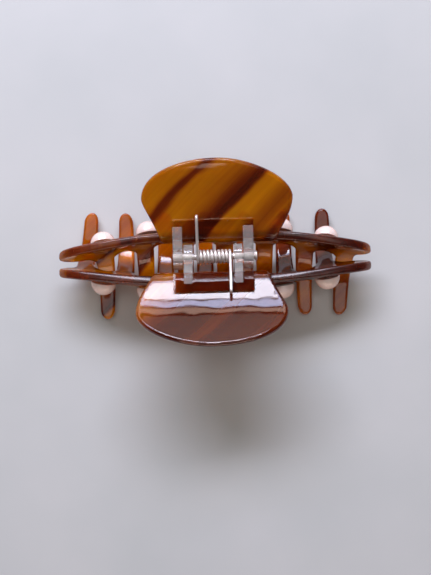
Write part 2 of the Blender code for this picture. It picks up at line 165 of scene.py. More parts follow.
# How finely the pieces are drawn
OUTLINE_STEPS = 16
EDGE_STEPS = 3
CUTS_DOWN = np.arange(-32, 38, 1.0) * MM
CUTS_ALONG = np.arange(-54, 54.5, 1.5) * MM
PEARL_SEGMENTS, PEARL_RINGS = 48, 32
EYE_STEPS = 40
BORE_SIDES = 60
PIN_SIDES = 48
WIRE_SIDES = 14
LEG_STEPS = 12
LEAF_ROUND = 0.22 * MM
PIN_ROUND = 0.3 * MM

# The streaks run up to the right at this angle on the sheet. A streak is (distance across, darkness) in
# millimetres and shares of the way to the darkest colour.
STREAK_ANGLE = math.radians(48)
STREAK_FROM = -46 * MM
STREAK_TO = 66 * MM
BACK_STREAKS = (
    (-46, 0.6), (-40, 0.25), (-34, 0.15), (-26, 0.12), (-24.6, 0.22), (-23.2, 0.78), (-22.2, 0.74),
    (-20.4, 0.16), (-17, 0.12), (-12, 0.32), (-8.5, 0.62), (-6.2, 0.93), (-5.2, 0.88), (-4.0, 0.1),
    (0, 0.0), (2.6, 0.25), (6, 0.5), (9, 0.3), (11.5, 0.72), (16, 0.25), (22, 0.6), (28, 0.3),
    (36, 0.65), (45, 0.2), (55, 0.6), (66, 0.3),
)
FRONT_STREAKS = (
    (-46, 0.35), (-38, 0.6), (-26, 0.85), (-17.5, 0.88), (-15.4, 0.68), (-13.8, 0.7), (-11, 0.9),
    (-3, 0.88), (2, 0.62), (5, 0.4), (9, 0.22), (12, 0.35), (16, 0.7), (22, 0.3), (30, 0.55),
    (40, 0.2), (50, 0.5), (66, 0.3),
)

# Tortoiseshell colours from the clearest amber to the darkest streak
SHELL_COLOURS = (
    (0.0, (0.72, 0.27, 0.001)),
    (0.3, (0.50, 0.14, 0.001)),
    (0.65, (0.23, 0.030, 0.001)),
    (1.0, (0.085, 0.007, 0.001)),
)
# Painted light that brightens the thin teeth's colour
TEETH_PAINTED_LIGHT = 1.5
# Painted shade that darkens the bar's rim
RIM_PAINTED_SHADE = 0.45
# Painted shade that darkens the jaw under a leaf's bonded plate
UNDER_LEAF_PAINTED_SHADE = 0.3

FLOOR_HALF = 1.5

# The camera: its place and turn round the clip, and its lens
CAMERA_PLACE = Vector((3.4 * MM, -43.6 * MM, 409.9 * MM))
CAMERA_TILT = math.radians(4.89)
CAMERA_ROLL_Y = math.radians(0.46)
CAMERA_YAW = math.radians(-1.42)
LENS = 70.1
SENSOR = 36.0


# ---- the jaws' shape ----


def rim_y(x):
    """The rim's mid-line from the clip's mid-plane: straight by the neck, closing to the tips."""
    share = max(0.0, abs(x) - STRAIGHT_HALF) / (BAR_HALF - STRAIGHT_HALF)
    return RIM_Y - (RIM_Y - RIM_Y_AT_TIP) * share**TAPER_POWER


def rim_drop(x):
    """How far the rim hangs below its height at the neck."""
    return DROOP * (abs(x) / BAR_HALF) ** DROOP_POWER


def lean(x, s):
    """How far the wall leans inwards where the bar tapers, as an angle."""
    share = min(1.0, max(0.0, abs(x) - STRAIGHT_HALF) / (BAR_HALF - STRAIGHT_HALF) * LEAN_GROWTH)
    below = np.clip((LEAN_NONE_FROM - s) / (LEAN_NONE_FROM - LEAN_FULL_TO), 0, 1)
    above = np.clip(1 + s / LEAN_FULL_TO, 0, 1)
    return LEAN * share * below * above


class Section:
    """The bent mid-line of the sheet, cut across the bar at x. Heights are from the rim at the neck."""

    def __init__(self, x):
        self.s = np.arange(BEND_S[0], BEND_S[-1] + BEND_STEP / 2, BEND_STEP)
        self.heading = np.radians(np.interp(self.s, BEND_S, BEND_DEG)) - lean(x, self.s)
        shrink = 1 - rim_drop(x) / TOOTH_DEPTH
        length = np.where(self.s > 0, shrink, 1.0) * BEND_STEP
        y = np.cumsum(np.sin(self.heading) * length)
        z = np.cumsum(-np.cos(self.heading) * length)
        self.y = y - np.interp(0, self.s, y) + rim_y(x)
        self.z = z - np.interp(0, self.s, z) - rim_drop(x)

    def at(self, s):
        return tuple(float(np.interp(s, self.s, row)) for row in (self.y, self.z, self.heading))

    def reach(self, inwards):
        """The distance s at which the mid-line has crossed the mid-plane and gone this far past it."""
        below = self.s > 0
        return float(self.s[below][np.argmax(self.y[below] < -inwards)])


def thickness_share(s):
    """The sheet thins towards the paddle's edge and the teeth's tips."""
    places = (-PADDLE_LENGTH, PADDLE_THINS_FROM, TOOTH_THINS_FROM, TOOTH_THIN_AT)
    return float(np.interp(s, places, (PADDLE_EDGE_SHARE, 1, 1, TOOTH_TIP_SHARE)))


def bent_point(x, s, w, sections):
    """Where a point of the flat pattern ends up. w is its distance outwards from the sheet's mid-surface."""
    key = round(x, 7)
    if key not in sections:
        sections[key] = Section(x)
    y, z, heading = sections[key].at(s)
    w *= thickness_share(s)
    return Vector((x, y + w * math.cos(heading), z + w * math.sin(heading)))


def arc(centre, radii, start, end, steps):
    """Points of an elliptical arc, from start to end in degrees."""
    angles = [math.radians(start + (end - start) * i / steps) for i in range(steps + 1)]
    return [(centre[0] + radii[0] * math.cos(a), centre[1] + radii[1] * math.sin(a)) for a in angles]


def bezier(p0, p1, p2, p3, steps):
    """Points of a cubic curve from p0 to p3."""
    points = []
    for i in range(steps + 1):
        t = i / steps
        weights = ((1 - t) ** 3, 3 * t * (1 - t) ** 2, 3 * t * t * (1 - t), t**3)
        points.append(tuple(sum(w * p[k] for w, p in zip(weights, (p0, p1, p2, p3))) for k in (0, 1)))
    return points


def paddle_side(side, steps):
    """The paddle's side edge, from the neck's fillet up to its widest point. side is 1 on the right."""
    out, rise, full = RIGHT_FLARE if side > 0 else LEFT_FLARE
    return bezier(
        (PADDLE_SHIFT + side * NECK_HALF, NECK_ROUND),
        (PADDLE_SHIFT + side * (NECK_HALF + out * (PADDLE_HALF - NECK_HALF)), rise * PADDLE_WIDEST),
        (PADDLE_SHIFT + side * PADDLE_HALF, full * PADDLE_WIDEST),
        (PADDLE_SHIFT + side * PADDLE_HALF, PADDLE_WIDEST),
        steps,
    )


def paddle_quarter(side, fullness, steps):
    """The paddle's free edge from its widest point on one side to the top of its crown."""
    rise = PADDLE_LENGTH - PADDLE_WIDEST
    return bezier(
        (PADDLE_SHIFT + side * PADDLE_HALF, PADDLE_WIDEST),
        (PADDLE_SHIFT + side * PADDLE_HALF, PADDLE_WIDEST + fullness * rise),
        (PADDLE_SHIFT + side * fullness * PADDLE_HALF, PADDLE_LENGTH),
        (PADDLE_SHIFT, PADDLE_LENGTH),
        steps,
    )


def tooth_outline(x, tip_x, root, tip_steps):
    """A tooth's sides and round tip, from the left root down and up to the right root."""
    tip = Section(x).reach(TOOTH_REACH)
    round_tip = arc((tip_x, TOOTH_TIP_ROUND - tip), (TOOTH_TIP_HALF, TOOTH_TIP_ROUND), 180, 360, tip_steps)
    return [(x - TOOTH_HALF, -root), *round_tip, (x + TOOTH_HALF, -root)]


def jaw_outline(steps):
    """The flat pattern's outline, counter-clockwise, as (x, -s)."""
    right_top = paddle_quarter(1, RIGHT_FULLNESS, 2 * steps)
    left_top = paddle_quarter(-1, LEFT_FULLNESS, 2 * steps)[-2::-1]
    fillet = (NECK_ROUND, NECK_ROUND)
    right_neck = arc((PADDLE_SHIFT + NECK_HALF + NECK_ROUND, NECK_ROUND), fillet, 270, 180, steps // 2)
    left_neck = arc((PADDLE_SHIFT - NECK_HALF - NECK_ROUND, NECK_ROUND), fillet, 0, -90, steps // 2)
    right_side = right_neck[:-1] + paddle_side(1, steps)[:-1]
    left_side = paddle_side(-1, steps)[-2:0:-1] + left_neck
    paddle = right_side + right_top + left_top + left_side

    nose = (NOSE_LENGTH, BAR_BAND / 2)
    nose_x = BAR_HALF - NOSE_LENGTH
    left_nose = arc((-nose_x, -BAR_BAND / 2), nose, 90, 270, 2 * steps)

    slot = TOOTH_PITCH / 2 - TOOTH_HALF
    root = BAR_BAND + slot
    centres = [TOOTH_OFFSET + (k - TOOTH_COUNT // 2) * TOOTH_PITCH for k in range(TOOTH_COUNT)]
    bottom = arc((centres[0] - TOOTH_HALF - slot, -root), (slot, slot), 90, 0, steps // 2)[:-1]
    for x in centres[:-1]:
        bottom += tooth_outline(x, x, root, steps)
        bottom += arc((x + TOOTH_PITCH / 2, -root), (slot, slot), 180, 0, steps)[1:-1]
    bottom += tooth_outline(centres[-1], centres[-1] - LAST_TOOTH_LEAN, root, steps)

    end_x = centres[-1] + TOOTH_HALF + END_ROOT
    nose_angle = -math.degrees(math.acos((end_x - nose_x) / NOSE_LENGTH))
    right_nose = arc((nose_x, -BAR_BAND / 2), nose, nose_angle, 90, 2 * steps)
    rise = root + right_nose[0][1]
    end_root = arc((end_x, -root), (END_ROOT, rise), 180, 90, steps // 2)[1:-1]
    return paddle + left_nose + bottom + end_root + right_nose


def flat_slab(outline):
    """A mesh of the outline as a flat slab of the sheet's thickness with rounded edges."""
    curve = bpy.data.curves.new("outline", "CURVE")
    curve.dimensions = "2D"
    curve.fill_mode = "BOTH"
    curve.bevel_depth = EDGE_ROUND
    curve.bevel_resolution = EDGE_STEPS
    curve.extrude = SHEET / 2 - EDGE_ROUND
    curve.offset = -EDGE_ROUND
    spline = curve.splines.new("POLY")
    spline.points.add(len(outline) - 1)
    for point, (x, v) in zip(spline.points, outline):
        point.co = (x, v, 0, 1)
    spline.use_cyclic_u = True
    holder = bpy.data.objects.new("outline", curve)
    bpy.context.scene.collection.objects.link(holder)
    graph = bpy.context.evaluated_depsgraph_get()
    mesh = bpy.data.meshes.new_from_object(holder.evaluated_get(graph))
    bpy.data.objects.remove(holder)
    return mesh


def cut_across(shape, point, normal):
    """Adds edges where the plane crosses the shape."""
    everything = shape.verts[:] + shape.edges[:] + shape.faces[:]
    bmesh.ops.bisect_plane(shape, geom=everything, dist=TINY, plane_co=point, plane_no=normal)


def make_jaw_mesh(name):
    """The flat pattern, cut into a fine grid and then bent. Each point keeps its flat place in "sheet"."""
    mesh = flat_slab(jaw_outline(OUTLINE_STEPS))
    mesh.name = name
    shape = bmesh.new()
    shape.from_mesh(mesh)
    bmesh.ops.remove_doubles(shape, verts=shape.verts, dist=TINY)
    bmesh.ops.dissolve_limit(shape, angle_limit=math.radians(0.5), verts=shape.verts, edges=shape.edges)
    for s in CUTS_DOWN:
        cut_across(shape, (0, -s, 0), (0, 1, 0))
    for x in CUTS_ALONG:
        cut_across(shape, (x, 0, 0), (1, 0, 0))
    bmesh.ops.recalc_face_normals(shape, faces=shape.faces)
    flat = shape.verts.layers.float_vector.new("sheet")
    sections = {}
    lift = Vector((0, 0, PIN_CENTRE.z - PIN_ABOVE_RIM))
    for vertex in shape.verts:
        vertex[flat] = vertex.co
        vertex.co = bent_point(vertex.co.x, -vertex.co.y, vertex.co.z, sections) + lift
    # Taking the pattern's third axis to +Y mirrors the shape, so its faces are turned back.
    bmesh.ops.reverse_faces(shape, faces=shape.faces)
    shape.to_mesh(mesh)
    shape.free()
    mesh.shade_smooth()
    return mesh


def mark_bonded(mesh, left, right):
    """Gives a jaw's second material, with painted shade on its colour, to the faces that a leaf's plate is
    bonded to.
    """
    near, far = PIN_CENTRE.y + LEAF_NEAR, PIN_CENTRE.y + LEAF_FAR
    for face in mesh.polygons:
        place = face.center
        under = left < place.x < right and near < place.y < far
        if under and face.normal.z > 0.5:
            face.material_index = 1


def outside_frame(x, s):
    """A matrix at the jaw's outer surface whose Z axis points straight out of it."""
    step = 0.5 * MM
    sections = {}
    centre = bent_point(x, s, SHEET / 2, sections)
    along_x = bent_point(x + step, s, SHEET / 2, sections) - bent_point(x - step, s, SHEET / 2, sections)
    along_s = bent_point(x, s + step, SHEET / 2, sections) - bent_point(x, s - step, SHEET / 2, sections)
    out = along_s.cross(along_x).normalized()
    if out.y < 0:
        out = -out
    side = along_x.normalized()
    rim_height = PIN_CENTRE.z - PIN_ABOVE_RIM
    place = Matrix.Translation(centre + Vector((0, 0, rim_height)))
    return place @ Matrix((side, out.cross(side), out)).transposed().to_4x4()


# ---- the other pieces' shapes ----


def make_pearl_mesh():
    """A ball whose back is flattened where it is glued to the wall, at its own z = 0."""
    shape = bmesh.new()
    bmesh.ops.create_uvsphere(shape, u_segments=PEARL_SEGMENTS, v_segments=PEARL_RINGS, radius=PEARL_RADIUS)
    bmesh.ops.translate(shape, verts=shape.verts, vec=(0, 0, PEARL_PROUD))
    for vertex in shape.verts:
        if vertex.co.z < 0:
            vertex.co.z = 0.0
    bmesh.ops.remove_doubles(shape, verts=shape.verts, dist=0.01 * MM)
    bmesh.ops.recalc_face_normals(shape, faces=shape.faces)
    mesh = bpy.data.meshes.new("pearl")
    shape.to_mesh(mesh)
    shape.free()
    mesh.shade_smooth()
    mesh.set_sharp_from_angle(angle=math.radians(40))
    return mesh


def prism(outline, left, right):
    """A bmesh of an outline in Y and Z, drawn out along X."""
    shape = bmesh.new()
    face = shape.faces.new([shape.verts.new((left, y, z)) for y, z in outline])
    drawn = bmesh.ops.extrude_face_region(shape, geom=[face])
    moved = [item for item in drawn["geom"] if isinstance(item, bmesh.types.BMVert)]
    bmesh.ops.translate(shape, verts=moved, vec=(right - left, 0, 0))
    bmesh.ops.recalc_face_normals(shape, faces=shape.faces)
    return shape


def to_object(shape, name):
    """Turns a bmesh into an object in the scene."""
    mesh = bpy.data.meshes.new(name)
    shape.to_mesh(mesh)
    shape.free()
    obj = bpy.data.objects.new(name, mesh)
    bpy.context.scene.collection.objects.link(obj)
    return obj


def paddle_top(y):
    """Height of the back paddle's upper surface at y, from the pin's axis."""
    section = Section(0)
    half = np.array([thickness_share(s) for s in section.s]) * SHEET / 2
    upper = section.s < -5 * MM
    top_y = (section.y - half * np.cos(section.heading))[upper]
    top_z = (section.z - half * np.sin(section.heading))[upper]
    return float(np.interp(y, top_y[::-1], top_z[::-1])) - PIN_ABOVE_RIM


def plate_outline():
    """The leaf's plate from the side: sunk a little into the paddle's base, with a flatter top."""
    far = paddle_top(LEAF_FAR) + GAP
    slope = (far - GAP - paddle_top(LEAF_FAR - LEAF_TOP_WIDTH)) / LEAF_TOP_WIDTH
    near = far - slope * (LEAF_FAR - LEAF_NEAR)
    lift = LEAF_THICK * math.hypot(1, slope)
    top_end = LEAF_FAR - LEAF_DRAFT
    sunk = GAP + LEAF_BOND
    return [
        (LEAF_NEAR, near - sunk),
        (LEAF_FAR, far - sunk),
        (top_end, far + lift),
        (top_end - LEAF_TOP_WIDTH, far + lift - LEAF_TOP_WIDTH * LEAF_TOP_SLOPE),
        (LEAF_NEAR + LEAF_SHOULDER, near + lift + LEAF_SHOULDER * slope),
        (LEAF_NEAR, near + lift / 2),
    ]


def ear_outline():
    """An ear from the side: a round eye about the pin, and a web that runs into the plate."""
    near, far, far_top = plate_outline()[:3]
    slope = (far[1] - near[1]) / (far[0] - near[0])
    eye = arc((0, 0), (EYE_RADIUS, EYE_RADIUS), EYE_FROM, EYE_TO, EYE_STEPS)
    above = GAP + LEAF_BOND + EAR_SUNK
    bottom = (near[0] + EAR_SUNK / 2, near[1] + above)
    inner = (far[0] - EAR_SHORT, far[1] - EAR_SHORT * slope + above)
    top = (far_top[0] - EAR_SHORT, far_top[1] - EAR_SHORT * LEAF_TOP_SLOPE + EAR_PROUD)
    return [*eye, bottom, inner, top]


def join_all(obj, operation, others):
    """Applies one exact Boolean per other object to obj, and removes those objects."""
    for other in others:
        modifier = obj.modifiers.new("cut", "BOOLEAN")
        modifier.operation = operation
        modifier.solver = "EXACT"
        modifier.object = other
    graph = bpy.context.evaluated_depsgraph_get()
    mesh = bpy.data.meshes.new_from_object(obj.evaluated_get(graph))
    obj.modifiers.clear()
    obj.data = mesh
    for other in others:
        bpy.data.objects.remove(other)


def make_leaf(name, plate_span, ears):
    """A clear leaf: a plate with two ears, bored for the pin, with softened edges."""
    leaf = to_object(prism(plate_outline(), *plate_span), name)
    webs = [to_object(prism(ear_outline(), left, right), "ear") for left, right in ears]
    join_all(leaf, "UNION", webs)
    circle = arc((0, 0), (BORE_RADIUS, BORE_RADIUS), 0, 360, BORE_SIDES)[:-1]
    bore = prism(circle, 2 * LEAF_LEFT, -2 * LEAF_LEFT)
    join_all(leaf, "DIFFERENCE", [to_object(bore, "bore")])
    soften(leaf, LEAF_ROUND)
    for face in leaf.data.polygons:
        in_ear = any(left < face.center.x < right for left, right in ears)
        # The ears take the second plastic, cloudier and paler, which paints a highlight on them.
        if in_ear and face.center.y < LEAF_FAR - EAR_SHORT:
            face.material_index = 1
    return leaf


def soften(obj, width):
    """Rounds the sharp edges of a moulded piece."""
    shape = bmesh.new()
    shape.from_mesh(obj.data)
    bmesh.ops.remove_doubles(shape, verts=shape.verts, dist=0.02 * MM)
    bmesh.ops.dissolve_limit(shape, angle_limit=math.radians(1), verts=shape.verts, edges=shape.edges)
    shape.to_mesh(obj.data)
    shape.free()
    obj.data.shade_smooth()
    bevel = obj.modifiers.new("softened edges", "BEVEL")
    bevel.width = width
    bevel.segments = 3
    bevel.limit_method = "ANGLE"
    bevel.angle_limit = math.radians(30)
    even = obj.modifiers.new("even shading", "WEIGHTED_NORMAL")
    even.weight = 100


def turned_piece(name, profile, steps):
    """A piece turned about the X axis. profile is (radius, x), from its right end down to its left."""
    shape = bmesh.new()
    rings = []
    for radius, x in profile:
        if radius == 0:
            rings.append([shape.verts.new((x, 0, 0))])
            continue
        angles = [2 * math.pi * i / steps for i in range(steps)]
        rings.append([shape.verts.new((x, radius * math.cos(a), radius * math.sin(a))) for a in angles])
    for a, b in zip(rings, rings[1:]):
        for i in range(steps):
            j = (i + 1) % steps
            corners = [a[i % len(a)], a[j % len(a)], b[j % len(b)], b[i % len(b)]]
            shape.faces.new(list(dict.fromkeys(corners)))
    bmesh.ops.recalc_face_normals(shape, faces=shape.faces)
    obj = to_object(shape, name)
    obj.data.shade_smooth()
    obj.data.set_sharp_from_angle(angle=math.radians(50))
    return obj


def make_pin():
    """The pin, with a turned head at its right end and a rounded left end."""
    r, h = PIN_RADIUS, HEAD_RADIUS
    head_end = PIN_RIGHT + HEAD_THICK
    edge = PIN_ROUND
    corner = arc((head_end - edge, h - edge), (edge, edge), 0, 90, 6)
    foot = arc((PIN_LEFT + edge, r - edge), (edge, edge), 90, 180, 6)
    profile = [(0, head_end)]
    profile += [(y, x) for x, y in corner]
    profile += [(h, PIN_RIGHT + edge / 2), (h - edge / 3, PIN_RIGHT)]
    profile += [(r + edge / 3, PIN_RIGHT), (r, PIN_RIGHT - edge / 3)]
    profile += [(y, x) for x, y in foot]
    profile += [(0, PIN_LEFT)]
    pin = turned_piece("hinge_pin_steel", profile, PIN_SIDES)
    pin.data.transform(Matrix.Translation(PIN_CENTRE))
    return pin


def leg_points(side):
    """A spring leg's own points as (y, z), from the coil out. side is 1 for the leg over the back leaf."""
    start = Vector((-side * COIL_RADIUS * math.sin(LEG_RISE), COIL_RADIUS * math.cos(LEG_RISE)))
    along = Vector((side * math.cos(LEG_RISE), math.sin(LEG_RISE)))
    end = start + along * LEG_LENGTH
    hook = end + Vector((side * LEG_HOOK[0], LEG_HOOK[1]))
    shares = np.linspace(*LEG_STRAIGHT, LEG_STEPS + 1)
    straight = [start + along * LEG_LENGTH * float(share) for share in shares]
    bend = [end.lerp(hook, share) for share in HOOK_SHARES] + [hook]
    return straight + bend


def wire_mesh(name, points, radius, sides):
    """A round wire along the points, closed by slightly domed ends."""
    shape = bmesh.new()
    rings = []
    normal = None
    for i, point in enumerate(points):
        before = points[max(i - 1, 0)]
        after = points[min(i + 1, len(points) - 1)]
        along = (after - before).normalized()
        if normal is None:
            normal = along.orthogonal()
        normal = (normal - along * normal.dot(along)).normalized()
        across = along.cross(normal)
        ring = []
        for k in range(sides):
            angle = 2 * math.pi * k / sides
            out = normal * math.cos(angle) + across * math.sin(angle)
            ring.append(shape.verts.new(point + out * radius))
        rings.append(ring)
    for a, b in zip(rings, rings[1:]):
        for k in range(sides):
            shape.faces.new((a[k], a[(k + 1) % sides], b[(k + 1) % sides], b[k]))
    for ring, inner, outer in ((rings[0], points[1], points[0]), (rings[-1], points[-2], points[-1])):
        tip = shape.verts.new(outer + (outer - inner).normalized() * radius * WIRE_DOME)
        for k in range(sides):
            shape.faces.new((ring[k], ring[(k + 1) % sides], tip))
    bmesh.ops.recalc_face_normals(shape, faces=shape.faces)
    obj = to_object(shape, name)
    obj.data.shade_smooth()
    obj.data.set_sharp_from_angle(angle=math.radians(60))
    return obj


def make_spring():
    """One wire: a leg over the back leaf, the coil about the pin, and a leg over the front leaf."""
    begin = math.radians(90) + LEG_RISE
    turn = 2 * math.pi * COIL_TURNS - 2 * LEG_RISE
    count = COIL_TURNS * COIL_POINTS
    coil = []
    for i in range(count + 1):
        t = i / count
        angle = begin + t * turn
        x = COIL_LEFT + (COIL_RIGHT - COIL_LEFT) * t
        coil.append(Vector((x, COIL_RADIUS * math.cos(angle), COIL_RADIUS * math.sin(angle))))
    back_leg = [Vector((COIL_LEFT, y, z)) for y, z in reversed(leg_points(1))]
    front_leg = [Vector((COIL_RIGHT, y, z)) for y, z in leg_points(-1)]
    points = [p + PIN_CENTRE for p in back_leg + coil + front_leg]
    return wire_mesh("torsion_spring_wire", points, WIRE_RADIUS, WIRE_SIDES)


# ---- materials ----


class Material:
    """A Principled material and short ways to add nodes to it."""

    def __init__(self, name, **constants):
        self.material = bpy.data.materials.new(name)
        self.material.use_nodes = True
        self.tree = self.material.node_tree
        self.shader = self.tree.nodes["Principled BSDF"]
        for key, value in constants.items():
            self.shader.inputs[key.replace("_", " ")].default_value = value

    def add(self, kind, inputs=(), **settings):
        """A new node. inputs is (socket, value or other socket) pairs."""
        node = self.tree.nodes.new("ShaderNode" + kind)
        for key, value in settings.items():
            setattr(node, key, value)
        for key, value in inputs:
            self.put(node.inputs[key], value)
        return node

    def put(self, socket, value):
        if isinstance(value, bpy.types.NodeSocket):
            self.tree.links.new(value, socket)
        else:
            socket.default_value = value

    def math(self, operation, *values):
        return self.add("Math", list(enumerate(values)), operation=operation).outputs[0]

    def noise(self, vector, scale, detail=2.0, roughness=0.5):
        node = self.add("TexNoise", [("Scale", scale), ("Detail", detail), ("Roughness", roughness)])
        if vector is not None:
            self.put(node.inputs["Vector"], vector)
        return node.outputs["Fac"]

    def ramp(self, value, stops):
        """A colour ramp. stops is (place, colour) pairs, where a colour may be one grey number."""
        node = self.add("ValToRGB", [("Fac", value)])
        elements = node.color_ramp.elements
        while len(elements) < len(stops):
            elements.new(0.5)
        for element, (place, colour) in zip(elements, stops):
            element.position = place
            element.color = (*((colour,) * 3 if isinstance(colour, (int, float)) else colour), 1.0)
        return node.outputs["Color"]

    def fade(self, value, start, end, low=0.0, high=1.0):
        """Goes from low to high as the value goes from start to end."""
        limits = (("From Min", start), ("From Max", end), ("To Min", low), ("To Max", high))
        return self.add("MapRange", [("Value", value), *limits]).outputs["Result"]

    def bump(self, height, strength, distance):
        inputs = [("Height", height), ("Strength", strength), ("Distance", distance)]
        self.put(self.shader.inputs["Normal"], self.add("Bump", inputs).outputs["Normal"])

    def object_place(self, scale=(1, 1, 1)):
        """Object coordinates in millimetres, stretched by scale."""
        place = self.add("TexCoord").outputs["Object"]
        scale = tuple(k / MM for k in scale)
        return self.add("Mapping", [("Vector", place), ("Scale", scale)]).outputs["Vector"]


def tortoiseshell(name, streaks, unshaded_polish):
    """Acetate streaked across the flat sheet. The last argument is 1, or 0 where a leaf is bonded to it:
    there the shine is taken away and the colour is darkened as painted shade.
    """
    m = Material(name, IOR=1.49, Transmission_Weight=0.6 * unshaded_polish)
    m.shader.inputs["Coat Weight"].default_value = 0.2 * unshaded_polish
    m.shader.inputs["Coat Roughness"].default_value = 0.03
    m.shader.inputs["Specular IOR Level"].default_value = 0.5 * unshaded_polish
    m.shader.inputs["Subsurface Weight"].default_value = 0.6
    m.shader.inputs["Subsurface Radius"].default_value = (1.0, 0.35, 0.08)
    m.shader.inputs["Subsurface Scale"].default_value = 3 * MM
    sheet = m.add("Attribute", attribute_name="sheet").outputs["Vector"]
    flat = m.add("Mapping", [("Vector", sheet), ("Scale", (1 / MM,) * 3)]).outputs["Vector"]
    turned = m.add("Mapping", [("Vector", flat), ("Rotation", (0, 0, math.radians(90) - STREAK_ANGLE))])
    parts = m.add("SeparateXYZ", [("Vector", turned.outputs["Vector"])])
    # A streak wanders a little along its length.
    wander = m.add("Mapping", [("Vector", turned.outputs["Vector"]), ("Scale", (0.10, 0.035, 0.02))])
    shift = m.math("MULTIPLY_ADD", m.noise(wander.outputs["Vector"], 1.0, 2.0), 5.0, -2.5)
    across = m.math("ADD", parts.outputs["X"], shift)
    start, end = STREAK_FROM / MM, STREAK_TO / MM
    share = m.fade(across, start, end)
    stops = [((place - start) / (end - start), dark) for place, dark in streaks]
    bands = m.ramp(share, stops)
    fine = m.add("Mapping", [("Vector", turned.outputs["Vector"]), ("Scale", (0.9, 0.03, 0.05))])
    grain = m.noise(fine.outputs["Vector"], 1.0, 3.0, 0.6)
    streaky = m.math("ADD", bands, m.math("MULTIPLY_ADD", grain, 0.3, -0.15))
    # Painted shade: the bar's rim is seen through the sheet's whole depth, so its colour is painted darker
    # there.
    sheet_parts = m.add("SeparateXYZ", [("Vector", flat)])
    up = sheet_parts.outputs["Y"]
    along = m.math("ABSOLUTE", sheet_parts.outputs["X"])
    below = m.fade(up, -3.5, -0.5)
    above = m.fade(up, 4.0, 2.0)
    off_base = m.fade(along, 13.0, 18.0)
    rim = m.math("MULTIPLY", m.math("MULTIPLY", below, above), off_base)
    # Painted shade also darkens the patch under a leaf's bonded plate.
    dark = m.math("ADD", m.math("MULTIPLY_ADD", rim, RIM_PAINTED_SHADE, streaky), UNDER_LEAF_PAINTED_SHADE * (1 - unshaded_polish))
    colour = m.ramp(dark, SHELL_COLOURS)
    # The teeth are thin, so their colour is painted paler: painted light standing in for more light passing
    # through them.
    teeth_painted_light = m.fade(up, -12.0, -26.0, 1.0, TEETH_PAINTED_LIGHT)
    lit = m.add("VectorMath", [(0, colour), ("Scale", teeth_painted_light)], operation="SCALE")
    m.put(m.shader.inputs["Base Color"], lit.outputs["Vector"])
    smears = m.noise(flat, 0.35, 3.0)
    smooth = m.math("MULTIPLY_ADD", smears, 0.08, 0.02)
    m.put(m.shader.inputs["Roughness"], m.math("MULTIPLY_ADD", rim, 0.2, smooth))
    m.bump(m.noise(flat, 0.12, 1.0), 0.25, 0.6 * MM)
    return m.material


def pearl_material():
    """An imitation pearl: a lustrous ivory coat over a pink body."""
    m = Material("pearl_lustre", IOR=1.6, Coat_Weight=0.8, Coat_Roughness=0.12, Subsurface_Weight=0.25)
    m.shader.inputs["Subsurface Radius"].default_value = (1.0, 0.6, 0.5)
    m.shader.inputs["Subsurface Scale"].default_value = 1.2 * MM
    facing = m.add("LayerWeight", [("Blend", 0.35)]).outputs["Facing"]
    body = m.ramp(facing, ((0.0, (0.88, 0.75, 0.71)), (0.45, (0.86, 0.66, 0.59)), (1.0, (0.82, 0.53, 0.45))))
    cloud = m.noise(m.object_place(), 0.35, 4.0)
    tint = m.ramp(cloud, ((0.3, (0.93, 0.90, 0.90)), (0.7, (1.0, 0.97, 0.95))))
    mixed = m.add("Mix", data_type="RGBA", blend_type="MULTIPLY")
    m.put(mixed.inputs["Factor"], 1.0)
    m.put(mixed.inputs["A"], body)
    m.put(mixed.inputs["B"], tint)
    m.put(m.shader.inputs["Base Color"], mixed.outputs["Result"])
    m.put(m.shader.inputs["Roughness"], m.math("MULTIPLY_ADD", cloud, 0.12, 0.2))
    m.bump(m.noise(m.object_place(), 6.0, 3.0), 0.05, 0.05 * MM)
    return m.material


def clear_plastic(name, clearness, ior):
    """Clear moulded plastic with faint flow marks. clearness is 1 where nothing clouds it."""
    m = Material(name, IOR=ior, Transmission_Weight=clearness)
    flow = m.noise(m.object_place((0.2, 1, 1)), 0.5, 3.0)
    tints = ((0.3, (0.93, 0.90, 0.86)), (0.7, (0.98, 0.96, 0.94)))
    m.put(m.shader.inputs["Base Color"], m.ramp(flow, tints))
    m.put(m.shader.inputs["Roughness"], m.math("MULTIPLY_ADD", flow, 0.05, 0.0))
    m.bump(m.noise(m.object_place(), 0.9, 3.0), 0.15, 0.12 * MM)
    return m.material


def steel(name, drawn):
    """Bright steel. drawn is how its fine marks stretch along each axis."""
    m = Material(name, Metallic=0.7)
    marks = m.noise(m.object_place(drawn), 2.0, 4.0, 0.6)
    shades = ((0.3, (0.88, 0.80, 0.75)), (0.7, (1.0, 0.94, 0.90)))
    m.put(m.shader.inputs["Base Color"], m.ramp(marks, shades))
    m.put(m.shader.inputs["Roughness"], m.math("MULTIPLY_ADD", marks, 0.22, 0.3))
    m.bump(marks, 0.15, 0.03 * MM)
    return m.material


def floor_material():
    """A plain pale floor, very faintly mottled."""
    m = Material("pale_floor", Roughness=0.55)
    mottle = m.noise(m.object_place(), 0.02, 3.0)
    greys = ((0.3, (0.50, 0.51, 0.50)), (0.7, (0.55, 0.55, 0.54)))
    m.put(m.shader.inputs["Base Color"], m.ramp(mottle, greys))
    return m.material


# ---- putting the clip together ----

ABOUT_Z = Matrix.Rotation(math.pi, 4, "Z")
SIDES = {"back": Matrix.Identity(4), "front": ABOUT_Z}


def place_mesh(name, mesh, matrix, material):
    obj = bpy.data.objects.new(name, mesh)
    bpy.context.scene.collection.objects.link(obj)
    obj.matrix_world = matrix
    obj.data.materials.clear()
    obj.data.materials.append(material)
    return obj


def finish_piece(obj, body, slot, *nodes):
    """Makes a piece ride on its body and stand for its CAD nodes, which it hides. The slot is not used."""
    if body:
        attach(obj, body)
    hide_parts(*nodes)


